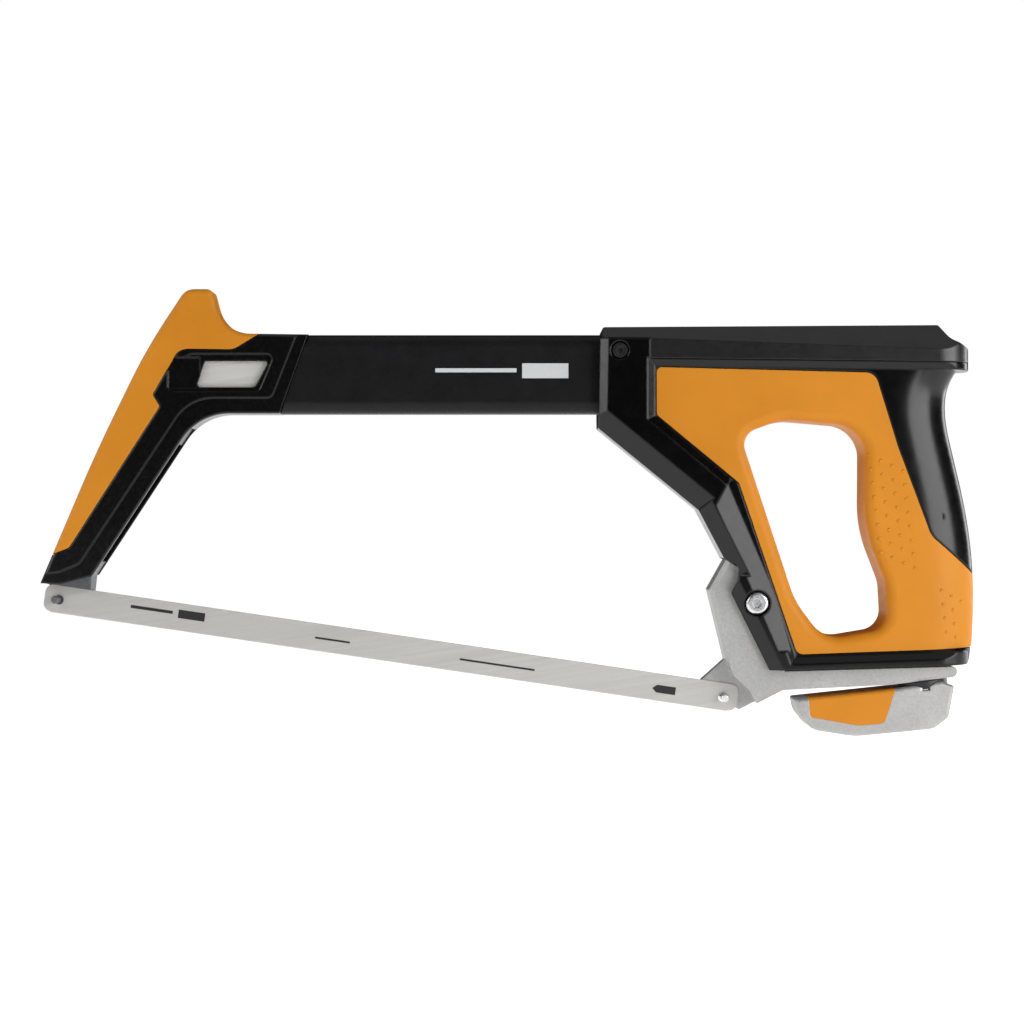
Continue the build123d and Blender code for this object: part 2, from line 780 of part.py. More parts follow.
def screw_plane():
    """The plane at the tension screw's foot, whose normal is the screw's axis."""
    x, z = SCREW_FOOT
    lean = radians(SCREW_LEAN)
    axis = (-sin(lean), 0, cos(lean))
    return Plane(origin=(x, 0, z), x_dir=(cos(lean), 0, sin(lean)), z_dir=axis)


def on_screw(height):
    """The X and Z of the point at a height along the tension screw."""
    point = screw_plane().origin + screw_plane().z_dir * height
    return (point.X, point.Z)


TRUNNION_HEIGHT = 27.5
TRUNNION_RADIUS = 7.0
TRUNNION = on_screw(TRUNNION_HEIGHT)

with BuildPart() as handle_shells:
    add(handle_body.part)
    add(PANEL_ZONE, mode=Mode.SUBTRACT)
    with BuildPart(mode=Mode.PRIVATE) as panel_carrier:
        add(CARRIER)
        add(PANEL_ZONE, mode=Mode.INTERSECT)
    add(panel_carrier.part)
    add(CAVITY, mode=Mode.SUBTRACT)
    # The tube's socket, the open top under the cover, and the way of the rocker.
    with BuildPart(mode=Mode.PRIVATE) as socket:
        with BuildSketch(Plane.YZ.offset(30)):
            with Locations((0, (TUBE_BOTTOM + TUBE_TOP) / 2)):
                RectangleRounded(2 * TUBE_HALF_WIDTH, TUBE_TOP - TUBE_BOTTOM, 5.5)
        extrude(amount=TUBE_REAR - 30)
    add(socket.part, mode=Mode.SUBTRACT)
    top_gap = outline([(60, 160, 0), (189, 160, 0), (189, 180, 0), (60, 180, 0)])
    add(slab(top_gap, -10.6, 10.6), mode=Mode.SUBTRACT)
    add(slab(ROCKER_WAY, -10.4, 10.4), mode=Mode.SUBTRACT)
    with BuildPart(mode=Mode.PRIVATE) as plate_pocket:
        add(cross_rod(PIVOT, -10.3, 10.3, HUB_RADIUS + 0.3))
        add(slab(grown(HANDLE, -1.6), -11, 11), mode=Mode.INTERSECT)
    add(plate_pocket.part, mode=Mode.SUBTRACT)
    add(rod(screw_plane(), 5, 25, 4.9), mode=Mode.SUBTRACT)
    # Holes and seats of the fasteners.
    add(cross_rod(PIVOT, -20, 20, PIVOT_BOLT_DIAMETER / 2), mode=Mode.SUBTRACT)
    add(cross_rod(PIVOT, -20, -PIVOT_HEAD_SEAT, PIVOT_HEAD_DIAMETER / 2 + 0.6), mode=Mode.SUBTRACT)
    add(cross_rod(PIVOT, PIVOT_HEAD_SEAT, 20, 6.4), mode=Mode.SUBTRACT)
    add(cross_rod(CORNER_SCREW, -20, 0, CORNER_SCREW_RADIUS), mode=Mode.SUBTRACT)
    add(cross_rod(CORNER_SCREW, -20, -15.2, 4.0), mode=Mode.SUBTRACT)

with BuildPart() as handle_shell_left:
    add(handle_shells.part)
    split(bisect_by=Plane.XZ, keep=Keep.TOP)
    for place in HANDLE_SCREWS:
        add(cross_rod(place, -12.6, 0, 2.0), mode=Mode.SUBTRACT)
save(handle_shell_left, "handle_shell_left")

with BuildPart() as handle_shell_right:
    add(handle_shells.part)
    split(bisect_by=Plane.XZ, keep=Keep.BOTTOM)
    for place in HANDLE_SCREWS:
        add(cross_rod(place, 0, 20, 2.2), mode=Mode.SUBTRACT)
        add(cross_rod(place, SCREW_SEAT, 20, 3.7), mode=Mode.SUBTRACT)
save(handle_shell_right, "handle_shell_right")

with BuildPart() as grips:
    add(grip_body(0))
    add(CARRIER, mode=Mode.SUBTRACT)
    add(slab(grown(PANEL, -JOINT_LINE), -20, 20), mode=Mode.INTERSECT)
    add(slab(ROCKER_WAY, -10.4, 10.4), mode=Mode.SUBTRACT)
    for cutter in BEVELS:
        add(cutter, mode=Mode.SUBTRACT)
    add(cross_rod(PIVOT, -20, 20, 6.4), mode=Mode.SUBTRACT)

with BuildPart() as handle_grip_left:
    add(grips.part)
    split(bisect_by=Plane.XZ, keep=Keep.TOP)
save(handle_grip_left, "handle_grip_left")

with BuildPart() as handle_grip_right:
    add(grips.part)
    split(bisect_by=Plane.XZ, keep=Keep.BOTTOM)
save(handle_grip_right, "handle_grip_right")

with BuildPart() as top_cover:
    add(slab(COVER, -BLOCK_HALF_WIDTH, BLOCK_HALF_WIDTH))
    add(rim_plan(), mode=Mode.INTERSECT)
    # A long flank on each side, from the rim's upper edge to the flat top.
    front = Vector(44.6, -BLOCK_HALF_WIDTH, 176.4)
    rear = Vector(201.9, -BLOCK_HALF_WIDTH, 170.6)
    flank = (rear - front).cross(Vector(0, 1, 1))
    if flank.Z < 0:
        flank = -flank
    split(bisect_by=Plane(origin=front, z_dir=flank), keep=Keep.BOTTOM)
    other = Plane(origin=(44.6, BLOCK_HALF_WIDTH, 176.4), z_dir=(flank.X, -flank.Y, flank.Z))
    split(bisect_by=other, keep=Keep.BOTTOM)
    pocket = outline([(64, 150, 0), (186, 150, 0), (186, 177.6, 0), (64, 177.6, 0)])
    add(slab(pocket, -8.4, 8.4), mode=Mode.SUBTRACT)
    tube_bed = outline([(30, 150, 0), (TUBE_REAR, 150, 0), (TUBE_REAR, 178.15, 0), (30, 178.15, 0)])
    add(slab(tube_bed, -9.05, 9.05), mode=Mode.SUBTRACT)
    add(handle_shells.part, mode=Mode.SUBTRACT)
save(top_cover, "top_cover")


# ---------------------------------------------------------------- inside the handle
FRAME_RING_INSET = 7.2
FRAME_INSET = 4.8  # from the handle's outline and from the loop
FORK_COLUMN = outline([
    (90.0, 92.0, 0), (118.0, 92.0, 0), (124.0, 66.0, 0), (116.0, 62.0, 0), (100.0, 66.0, 0)
])
FRAME_NOSE = outline([
    (48.0, 148.2, 3), (TUBE_REAR + 0.2, 148.2, 0), (TUBE_REAR + 0.2, 173.0, 0), (48.0, 173.0, 3)
])

with BuildPart() as handle_frame:
    add(slab(grown(HANDLE, -FRAME_RING_INSET), -HUB_HALF_WIDTH, HUB_HALF_WIDTH))
    add(palm(FRAME_RING_INSET), mode=Mode.INTERSECT)
    add(slab(grown(LOOP, FRAME_INSET), -9, 9), mode=Mode.SUBTRACT)
    with BuildPart(mode=Mode.PRIVATE) as tube_room:
        with BuildSketch(Plane.YZ.offset(30)):
            with Locations((0, (TUBE_BOTTOM + TUBE_TOP) / 2)):
                Rectangle(2 * TUBE_HALF_WIDTH, TUBE_TOP - TUBE_BOTTOM)
        extrude(amount=TUBE_REAR - 30)
    add(tube_room.part, mode=Mode.SUBTRACT)
    add(slab(FRAME_NOSE, -1.2, 7.4))
    add(slab(grown(MAGAZINE, 0.1), MAGAZINE_LEFT - 0.1, MAGAZINE_RIGHT + 0.1), mode=Mode.SUBTRACT)
    # Two plates reach down past the rocker's hub and hold the pivot bolt.
    with BuildPart(mode=Mode.PRIVATE) as fork:
        add(cross_rod(PIVOT, -FRAME_HALF_WIDTH, FRAME_HALF_WIDTH, HUB_RADIUS))
        add(slab(grown(HANDLE, -2), -11, 11), mode=Mode.INTERSECT)
        with BuildPart(mode=Mode.PRIVATE) as column:
            add(slab(FORK_COLUMN, -FRAME_HALF_WIDTH, FRAME_HALF_WIDTH))
            add(slab(grown(HANDLE, -FRAME_INSET), -11, 11), mode=Mode.INTERSECT)
            add(slab(grown(LOOP, FRAME_INSET), -11, 11), mode=Mode.SUBTRACT)
        add(column.part)
    add(fork.part)
    hub_gap = HUB_HALF_WIDTH + 0.1
    add(cross_rod(PIVOT, -hub_gap, hub_gap, HUB_RADIUS + 1), mode=Mode.SUBTRACT)
    add(slab(ROCKER_WAY, -hub_gap, hub_gap), mode=Mode.SUBTRACT)
    for place in TUBE_PINS:
        add(cross_rod(place, -2, 12, TUBE_PIN_RADIUS), mode=Mode.SUBTRACT)
    add(cross_rod(PIVOT, -20, 20, PIVOT_BOLT_DIAMETER / 2), mode=Mode.SUBTRACT)
    add(rod(screw_plane(), 0, 60, SCREW_DIAMETER / 2 + 0.6), mode=Mode.SUBTRACT)
    add(cross_rod(TRUNNION, -20, 20, TRUNNION_RADIUS), mode=Mode.SUBTRACT)
    for place in HANDLE_SCREWS:
        add(cross_rod(place, -20, 20, 2.2), mode=Mode.SUBTRACT)
save(handle_frame, "handle_frame")

with BuildPart() as trunnion_nut:
    add(cross_rod(TRUNNION, -7.9, 7.9, TRUNNION_RADIUS))
    chamfer(trunnion_nut.edges().filter_by(GeomType.CIRCLE), 0.6)
    bore = SCREW_DIAMETER / 2 + RUNNING_FIT
    add(rod(screw_plane(), TRUNNION_HEIGHT - 10, TRUNNION_HEIGHT + 10, bore), mode=Mode.SUBTRACT)
save(trunnion_nut, "trunnion_nut")

with BuildPart() as tube_pins:
    for place in TUBE_PINS:
        add(cross_rod(place, -1.2, TUBE_HALF_WIDTH, TUBE_PIN_RADIUS))
save(tube_pins, "tube_pins")

with BuildPart() as pivot_bolt:
    add(cross_rod(PIVOT, -PIVOT_HEAD_SEAT, PIVOT_HEAD_SEAT + 3.2, PIVOT_BOLT_DIAMETER / 2))
    add(cross_rod(PIVOT, -PIVOT_HEAD_SEAT - 3.4, -PIVOT_HEAD_SEAT, PIVOT_HEAD_DIAMETER / 2))
    crown = pivot_bolt.faces().sort_by(Axis.Y)[0]
    fillet(crown.edges(), 1.4)
    with BuildSketch(across(-PIVOT_HEAD_SEAT - 3.4)):
        with Locations(PIVOT):
            RegularPolygon(2.3, 6)
    extrude(amount=-1.8, mode=Mode.SUBTRACT)
save(pivot_bolt, "pivot_bolt")

with BuildPart() as pivot_nut:
    with BuildSketch(across(PIVOT_HEAD_SEAT + 3.0)):
        with Locations(PIVOT):
            RegularPolygon(5.77, 6)
            Circle(PIVOT_BOLT_DIAMETER / 2, mode=Mode.SUBTRACT)
    extrude(amount=3.0)
save(pivot_nut, "pivot_nut")

with BuildPart() as corner_screw:
    add(cross_rod(CORNER_SCREW, -15.2, TUBE_WALL - TUBE_HALF_WIDTH - 0.1, CORNER_SCREW_RADIUS))
    add(cross_rod(CORNER_SCREW, -17.0, -15.2, 3.2))
    with BuildSketch(across(-17.0)):
        with Locations(CORNER_SCREW):
            RegularPolygon(1.6, 6)
    extrude(amount=-1.0, mode=Mode.SUBTRACT)
save(corner_screw, "corner_screw")

with BuildPart() as handle_screws:
    for place in HANDLE_SCREWS:
        add(cap_screw(place, -12.6, SCREW_SEAT, SCREW_SEAT + 1.9, 2.0, 3.5))
save(handle_screws, "handle_screws")


# ---------------------------------------------------------------- rocker
BUSH_RADIUS = 4.2
ARM_SLOT_SHIFT = 1.9  # the arm swings this far forward over the screw

with BuildPart() as rocker:
    with BuildPart(mode=Mode.PRIVATE) as outside:
        add(slab(ROCKER, -ROCKER_HALF_WIDTH, ROCKER_HALF_WIDTH))
        sides = at_half_width(outside, ROCKER_HALF_WIDTH)
        chamfer(sides.filter_by(lambda edge: edge.center().X < 93.5), 2.0)
        add(slab(grown(HANDLE, -0.3), -11, 11), mode=Mode.SUBTRACT)
    add(slab(ROCKER, -HUB_HALF_WIDTH, HUB_HALF_WIDTH))
    add(cross_rod(PIVOT, -HUB_HALF_WIDTH, HUB_HALF_WIDTH, HUB_RADIUS))
    wide_edges = outline([(80, 0, 0), (93.5, 0, 0), (93.5, 90, 0), (80, 90, 0)])
    add(slab(wide_edges, -HUB_HALF_WIDTH, HUB_HALF_WIDTH), mode=Mode.SUBTRACT)
    add(outside.part)
    # The blade lies in a bed in front of the lower end.
    bed_outline = outline([
        (70, 45, 0), (96.6, 34.5, 1), (99.6, 27.0, 4), (106.5, 20.6, 3), (111.5, 12.0, 0), (70, -10, 0)
    ])
    add(slab(bed_outline, -12, BLADE_THICKNESS / 2 + BLADE_GAP), mode=Mode.SUBTRACT)
    add(rod(pin_plane(REAR_PIN, PIN_LEAN / 2), -9, 9, PIN_NECK_RADIUS), mode=Mode.SUBTRACT)
    add(cross_rod(PIVOT, -12, 12, BUSH_RADIUS), mode=Mode.SUBTRACT)
    with BuildSketch(screw_plane()):
        with Locations((ARM_SLOT_SHIFT / 2 - 0.3, 0)):
            SlotOverall(SCREW_DIAMETER + 1.2 + ARM_SLOT_SHIFT, SCREW_DIAMETER + 0.8)
    extrude(amount=20, mode=Mode.SUBTRACT)
save(rocker, "rocker")

with BuildPart() as pivot_bush:
    add(cross_rod(PIVOT, -HUB_HALF_WIDTH, HUB_HALF_WIDTH, BUSH_RADIUS))
    inner = PIVOT_BOLT_DIAMETER / 2 + RUNNING_FIT
    add(cross_rod(PIVOT, -HUB_HALF_WIDTH, HUB_HALF_WIDTH, inner), mode=Mode.SUBTRACT)
save(pivot_bush, "pivot_bush")


# ---------------------------------------------------------------- tension lever and screw
SCREW_HEAD_TOP = -10.0  # heights along the screw, from its foot
SCREW_HEAD_BASE = -15.0

with BuildPart() as tension_screw:
    add(rod(screw_plane(), SCREW_HEAD_TOP, SCREW_LENGTH, SCREW_DIAMETER / 2))
    chamfer(tension_screw.edges().sort_by(Axis.Z)[-1], 0.8)
    with BuildSketch(screw_plane().offset(SCREW_HEAD_BASE)):
        RegularPolygon(7.0, 6)
    extrude(amount=SCREW_HEAD_TOP - SCREW_HEAD_BASE)
save(tension_screw, "tension_screw")

with BuildPart() as lever_body:
    add(slab(LEVER, -LEVER_HALF_WIDTH, LEVER_HALF_WIDTH))
    rims = at_half_width(lever_body, LEVER_HALF_WIDTH)
    fillet(rims.filter_by(lambda edge: edge.center().Z < 15), 1.6)

PAD_ZONE = slab(LEVER_PAD, -20, 20)
LEVER_CORE = slab(grown(LEVER, -RUBBER), -LEVER_HALF_WIDTH + RUBBER, LEVER_HALF_WIDTH - RUBBER)

with BuildPart() as lever_pad:
    add(lever_body.part)
    add(PAD_ZONE, mode=Mode.INTERSECT)
    add(LEVER_CORE, mode=Mode.SUBTRACT)
save(lever_pad, "lever_pad")

with BuildPart() as tension_lever:
    add(lever_body.part)
    add(lever_pad.part, mode=Mode.SUBTRACT)
    add(rod(screw_plane(), WASHER_BASE, 20, COLLAR_RADIUS + 0.5), mode=Mode.SUBTRACT)
    add(rod(screw_plane(), SCREW_HEAD_TOP, 20, SCREW_DIAMETER / 2), mode=Mode.SUBTRACT)
    with BuildSketch(screw_plane().offset(-40)):
        RegularPolygon(7.0, 6)
    extrude(amount=40 + SCREW_HEAD_TOP, mode=Mode.SUBTRACT)
save(tension_lever, "tension_lever")

with BuildPart() as thrust_washer:
    add(rod(screw_plane(), WASHER_BASE + 0.05, COLLAR_BASE, COLLAR_RADIUS - 1))
    bore = SCREW_DIAMETER / 2 + RUNNING_FIT
    add(rod(screw_plane(), 0, 10, bore), mode=Mode.SUBTRACT)
save(thrust_washer, "thrust_washer")

with BuildPart() as thrust_collar:
    add(rod(screw_plane(), COLLAR_BASE, COLLAR_TOP, COLLAR_RADIUS))
    chamfer(thrust_collar.edges().filter_by(GeomType.CIRCLE), 0.3)
    add(rod(screw_plane(), 0, 10, bore), mode=Mode.SUBTRACT)
save(thrust_collar, "thrust_collar")
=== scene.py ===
"""The looks of a high-tension hacksaw: procedural materials, printed marks, grip dots and a studio.

Metres; X runs along the saw with the handle at +X, the saw plane is Y = 0 and Z is up.
"""

import json
import math

import bmesh
import bpy
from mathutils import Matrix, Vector
from mathutils.bvhtree import BVHTree


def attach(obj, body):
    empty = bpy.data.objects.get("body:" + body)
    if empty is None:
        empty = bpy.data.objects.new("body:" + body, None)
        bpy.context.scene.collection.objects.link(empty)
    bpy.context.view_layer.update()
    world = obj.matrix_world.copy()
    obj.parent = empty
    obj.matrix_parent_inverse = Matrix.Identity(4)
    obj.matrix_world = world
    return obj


MM = 0.001

# Where the blade lies, in millimetres: its front hole's centre, its slope and half its thickness.
BLADE_START = Vector((-201.07, 0, 60.13))
BLADE_SLOPE = math.radians(8.34)
BLADE_HALF_THICKNESS = 0.325

TUBE_HALF_WIDTH = 9.0
PRINT_THICKNESS = 0.02 * MM
LEFT = Vector((0, -1, 0))

# The part of a noise's range that most of a surface falls in.
MIDDLE = (0.3, 0.7)

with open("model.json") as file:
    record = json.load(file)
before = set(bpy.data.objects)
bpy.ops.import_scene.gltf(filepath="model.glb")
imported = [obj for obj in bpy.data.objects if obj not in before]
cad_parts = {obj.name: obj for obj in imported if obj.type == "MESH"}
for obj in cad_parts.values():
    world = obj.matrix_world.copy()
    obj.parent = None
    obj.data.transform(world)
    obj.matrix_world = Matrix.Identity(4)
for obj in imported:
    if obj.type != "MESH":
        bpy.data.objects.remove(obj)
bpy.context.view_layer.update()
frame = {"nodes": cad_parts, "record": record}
nodes = frame["nodes"]
scene = bpy.context.scene


# ---------------------------------------------------------------- node helpers
class Graph:
    """A material's node tree with short ways to add nodes and join them."""

    def __init__(self, name):
        self.material = bpy.data.materials.new(name)
        self.material.use_nodes = True
        self.tree = self.material.node_tree
        self.bsdf = self.tree.nodes["Principled BSDF"]

    def node(self, kind, **settings):
        made = self.tree.nodes.new(kind)
        for key, value in settings.items():
            setattr(made, key, value)
        return made

    def put(self, target, value):
        """Joins an output socket to an input, or sets the input's own value."""
        if isinstance(value, bpy.types.NodeSocket):
            self.tree.links.new(value, target)
        else:
            target.default_value = value

    def place(self, scale=(1, 1, 1), turn=0.0):
        """Object coordinates, stretched and turned about Y."""
        vector = self.node("ShaderNodeTexCoord").outputs["Object"]
        if turn:
            turned = self.node("ShaderNodeMapping")
            turned.inputs["Rotation"].default_value = (0, turn, 0)
            self.put(turned.inputs["Vector"], vector)
            vector = turned.outputs["Vector"]
        mapping = self.node("ShaderNodeMapping")
        mapping.inputs["Scale"].default_value = scale
        self.put(mapping.inputs["Vector"], vector)
        return mapping.outputs["Vector"]

    def noise(self, scale, detail, rough=0.55, vector=None):
        """Soft noise; scale is the number of waves in a metre."""
        made = self.node("ShaderNodeTexNoise")
        self.put(made.inputs["Vector"], vector or self.place())
        made.inputs["Scale"].default_value = scale
        made.inputs["Detail"].default_value = detail
        made.inputs["Roughness"].default_value = rough
        return made.outputs["Fac"]

    def cells(self, scale):
        """Small cells, scale of them in a metre."""
        made = self.node("ShaderNodeTexVoronoi")
        self.put(made.inputs["Vector"], self.place())
        made.inputs["Scale"].default_value = scale
        return made

    def spread(self, value, low, high, to_low=0.0, to_high=1.0):
        """Maps low..high to to_low..to_high."""
        made = self.node("ShaderNodeMapRange")
        self.put(made.inputs["Value"], value)
        for name, number in (
            ("From Min", low),
            ("From Max", high),
            ("To Min", to_low),
            ("To Max", to_high),
        ):
            made.inputs[name].default_value = number
        return made.outputs["Result"]

    def calc(self, operation, first, second):
        made = self.node("ShaderNodeMath", operation=operation)
        self.put(made.inputs[0], first)
        self.put(made.inputs[1], second)
        return made.outputs["Value"]

    def mix(self, share, first, second):
        """The first colour with a share of the second."""
        made = self.node("ShaderNodeMix", data_type="RGBA")
        self.put(made.inputs["Factor"], share)
        self.put(made.inputs["A"], first)
        self.put(made.inputs["B"], second)
        return made.outputs["Result"]

    def clouded(self, scale, detail, dark, light):
        """A colour that drifts between two tones."""
        return self.mix(self.spread(self.noise(scale, detail), *MIDDLE), dark, light)

    def uneven(self, scale, detail, low, high):
        """A number that drifts between two limits."""
        return self.spread(self.noise(scale, detail), *MIDDLE, low, high)

    def worn(self, color, wear, share, bare):
        """The colour with a share of the bare tone where wear is 1."""
        return self.mix(self.calc("MULTIPLY", wear, share), color, bare)

    def bump(self, height, depth, strength, normal):
        """A normal bumped by a height; depth in millimetres."""
        made = self.node("ShaderNodeBump")
        made.inputs["Distance"].default_value = depth * MM
        made.inputs["Strength"].default_value = strength
        self.put(made.inputs["Height"], height)
        self.put(made.inputs["Normal"], normal)
        return made.outputs["Normal"]

    def rounded(self, radius):
        """The normal with edges rounded to a radius in millimetres."""
        made = self.node("ShaderNodeBevel", samples=6)
        made.inputs["Radius"].default_value = radius * MM
        return made.outputs["Normal"]

    def edges(self, radius, low=0.02, high=0.25):
        """1 along sharp edges, 0 on flats, from how far the rounded normal leaves the true one."""
        true = self.node("ShaderNodeNewGeometry").outputs["True Normal"]
        dot = self.node("ShaderNodeVectorMath", operation="DOT_PRODUCT")
        self.put(dot.inputs[0], self.rounded(radius))
        self.put(dot.inputs[1], true)
        away = self.calc("SUBTRACT", 1.0, dot.outputs["Value"])
        return self.spread(away, low, high)

    def finish(self, color, rough, normal=None, metallic=0.0, specular=0.5):
        self.put(self.bsdf.inputs["Base Color"], color)
        self.put(self.bsdf.inputs["Roughness"], rough)
        self.put(self.bsdf.inputs["Metallic"], metallic)
        self.put(self.bsdf.inputs["Specular IOR Level"], specular)
        if normal is not None:
            self.put(self.bsdf.inputs["Normal"], normal)
        return self.material


def tone(red, green, blue):
    return (red, green, blue, 1.0)


def grey(value):
    return tone(value, value, value)


# ---------------------------------------------------------------- materials
def orange_rubber():
    g = Graph("orange_rubber")
    color = g.clouded(35, 3, tone(0.535, 0.194, 0.008), tone(0.585, 0.215, 0.0105))
    wear = g.edges(1.2, 0.03, 0.4)
    color = g.worn(color, wear, 0.12, tone(0.72, 0.34, 0.05))
    rough = g.uneven(220, 4, 0.46, 0.60)
    normal = g.bump(g.noise(1800, 4, 0.7), 0.06, 0.35, g.rounded(0.5))
    return g.finish(color, rough, normal, specular=0.25)


def tube_paint():
    g = Graph("tube_paint")
    color = g.clouded(90, 4, tone(0.0035, 0.0035, 0.0042), tone(0.0065, 0.0065, 0.0075))
    speck = g.spread(g.cells(1500).outputs["Distance"], 0.0, 0.25, 0.2, 0.0)
    color = g.mix(speck, color, tone(0.03, 0.03, 0.033))
    rough = g.uneven(700, 4, 0.36, 0.48)
    normal = g.bump(g.noise(2600, 3, 0.8), 0.10, 0.45, g.rounded(0.5))
    return g.finish(color, rough, normal, specular=0.2)


def black_satin():
    g = Graph("black_satin")
    color = g.clouded(60, 4, tone(0.0010, 0.0010, 0.0012), tone(0.0022, 0.0022, 0.0025))
    rough = g.uneven(500, 4, 0.20, 0.28)
    normal = g.bump(g.noise(1700, 4, 0.7), 0.04, 0.25, g.rounded(1.0))
    return g.finish(color, rough, normal, specular=0.4)


def cover_satin():
    g = Graph("cover_satin")
    color = g.clouded(70, 4, tone(0.0045, 0.0045, 0.005), tone(0.008, 0.008, 0.0088))
    rough = g.uneven(600, 4, 0.29, 0.37)
    normal = g.bump(g.noise(1900, 4, 0.7), 0.06, 0.4, g.rounded(0.6))
    return g.finish(color, rough, normal)


def black_gloss():
    g = Graph("black_gloss")
    color = g.clouded(40, 3, tone(0.0006, 0.0006, 0.0007), tone(0.0012, 0.0012, 0.0014))
    rough = g.spread(g.noise(260, 5), 0.25, 0.75, 0.18, 0.25)
    wave = g.bump(g.noise(160, 2), 0.05, 0.25, g.rounded(1.4))
    normal = g.bump(g.noise(2400, 3), 0.02, 0.15, wave)
    return g.finish(color, rough, normal, specular=0.34)


def silver_casting():
    g = Graph("silver_casting")
    grit = g.noise(2400, 3, 0.8)
    color = g.clouded(45, 4, tone(0.40, 0.40, 0.392), tone(0.465, 0.465, 0.457))
    spark = g.spread(g.cells(1500).outputs["Color"], 0.0, 1.0, 0.0, 0.55)
    color = g.mix(spark, color, tone(0.29, 0.29, 0.286))
    wear = g.edges(0.7)
    color = g.worn(color, wear, 0.5, tone(0.72, 0.72, 0.71))
    rough = g.spread(grit, *MIDDLE, 0.38, 0.56)
    rough = g.calc("SUBTRACT", rough, g.calc("MULTIPLY", wear, 0.08))
    normal = g.bump(grit, 0.10, 0.55, g.rounded(0.5))
    return g.finish(color, rough, normal, metallic=0.55)


def grey_casting():
    g = Graph("grey_casting")
    grit = g.noise(2200, 3, 0.8)
    color = g.clouded(80, 4, tone(0.085, 0.088, 0.092), tone(0.12, 0.123, 0.128))
    color = g.worn(color, g.edges(0.5), 0.35, grey(0.3))
    rough = g.spread(grit, *MIDDLE, 0.38, 0.52)
    normal = g.bump(grit, 0.09, 0.5, g.rounded(0.4))
    return g.finish(color, rough, normal, metallic=0.35)


def blade_steel(name="blade_steel", pale=0.0):
    """Steel with streaks along the blade; pale is the share of a lighter tone laid over it, painted
    light that gives a lit copy of the same steel.
    """
    g = Graph(name)
    streak = g.noise(1.0, 4, 0.6, g.place((18, 900, 900), BLADE_SLOPE))
    color = g.mix(g.spread(streak, *MIDDLE), tone(0.465, 0.460, 0.440), tone(0.535, 0.527, 0.505))
    speck = g.spread(g.cells(1700).outputs["Color"], 0, 1, 0, 0.22)
    color = g.mix(speck, color, tone(0.40, 0.395, 0.38))
    stain = g.spread(g.noise(28, 5), 0.55, 0.75, 0, 0.25)
    color = g.mix(stain, color, tone(0.47, 0.45, 0.41))
    color = g.mix(pale, color, tone(0.95, 0.93, 0.88))
    rough = g.spread(streak, *MIDDLE, 0.36, 0.5)
    normal = g.bump(streak, 0.03, 0.5, g.rounded(0.12))
    return g.finish(color, rough, normal, metallic=0.45)


# The spare blades are the same steel as the blade, with half of a lighter tone laid over it as
# painted light, so they look lit inside the shaded magazine window.
def spare_steel_painted_light():
    return blade_steel("spare_steel_painted_light", 0.5)


def bright_steel():
    g = Graph("bright_steel")
    color = g.clouded(300, 4, tone(0.62, 0.63, 0.65), tone(0.74, 0.75, 0.76))
    rough = g.uneven(900, 4, 0.22, 0.36)
    normal = g.bump(g.noise(1500, 3), 0.03, 0.4, g.rounded(0.3))
    return g.finish(color, rough, normal, metallic=0.95)


def dark_steel():
    g = Graph("dark_steel")
    color = g.clouded(300, 4, tone(0.02, 0.02, 0.022), tone(0.035, 0.035, 0.038))
    color = g.worn(color, g.edges(0.3), 0.3, grey(0.25))
    rough = g.uneven(900, 4, 0.28, 0.42)
    normal = g.bump(g.noise(1500, 3), 0.03, 0.4, g.rounded(0.3))
    return g.finish(color, rough, normal, metallic=0.6)


def bush_brass():
    g = Graph("bush_brass")
    color = g.mix(g.noise(200, 4), tone(0.60, 0.42, 0.16), tone(0.72, 0.52, 0.22))
    rough = g.uneven(900, 4, 0.25, 0.4)
    return g.finish(color, rough, g.rounded(0.2), metallic=1.0)


def print_ink(name, color):
    """Ink that is a little darker in patches."""
    g = Graph(name)
    darker = tone(*[0.8 * channel for channel in color[:3]])
    patchy = g.mix(g.uneven(1500, 4, 0, 0.35), color, darker)
    return g.finish(patchy, g.uneven(800, 3, 0.4, 0.55), specular=0.4)


MAKERS = {
    "orange_rubber": orange_rubber,
    "tube_paint": tube_paint,
    "black_satin": black_satin,
    "black_gloss": black_gloss,
    "silver_casting": silver_casting,
    "grey_casting": grey_casting,
    "blade_steel": blade_steel,
    "bright_steel": bright_steel,
    "dark_steel": dark_steel,
    "bush_brass": bush_brass,
    "cover_satin": cover_satin,
    "spare_steel_painted_light": spare_steel_painted_light,
}
materials = {name: make() for name, make in MAKERS.items()}
ink_dark = print_ink("ink_dark", tone(0.012, 0.012, 0.013))
ink_pale = print_ink("ink_pale", tone(0.55, 0.56, 0.57))

# Pieces that look different from the others in their material slot.
LOOKS = {
    "top_cover": "cover_satin",
    "front_blade_pin": "grey_casting",
    # The spare blades get the lighter copy of the blade steel, which is painted light.
    "spare_blades": "spare_steel_painted_light",
}

for sub in frame["record"]["subparts"]:
    piece = nodes[sub["node"]]
    piece.data.materials.clear()
    chosen = LOOKS.get(sub["node"], sub["material_slot"])
    piece.data.materials.append(materials[chosen])


# ---------------------------------------------------------------- pieces
def new_piece(name, mesh_maker, material, body, smooth=False):
    """A mesh object made by mesh_maker(bm), riding on a body."""
    bm = bmesh.new()
    mesh_maker(bm)
    bmesh.ops.recalc_face_normals(bm, faces=bm.faces)
    mesh = bpy.data.meshes.new(name)
    bm.to_mesh(mesh)
    bm.free()
    for polygon in mesh.polygons:
        polygon.use_smooth = smooth
    mesh.materials.append(material)
    made = bpy.data.objects.new(name, mesh)
    scene.collection.objects.link(made)
    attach(made, body)


def side_faces(bm, low, high):
    """The faces between two closed rows of vertices."""
    count = len(low)
    for i in range(count):
        j = (i + 1) % count
        bm.faces.new((low[i], low[j], high[j], high[i]))


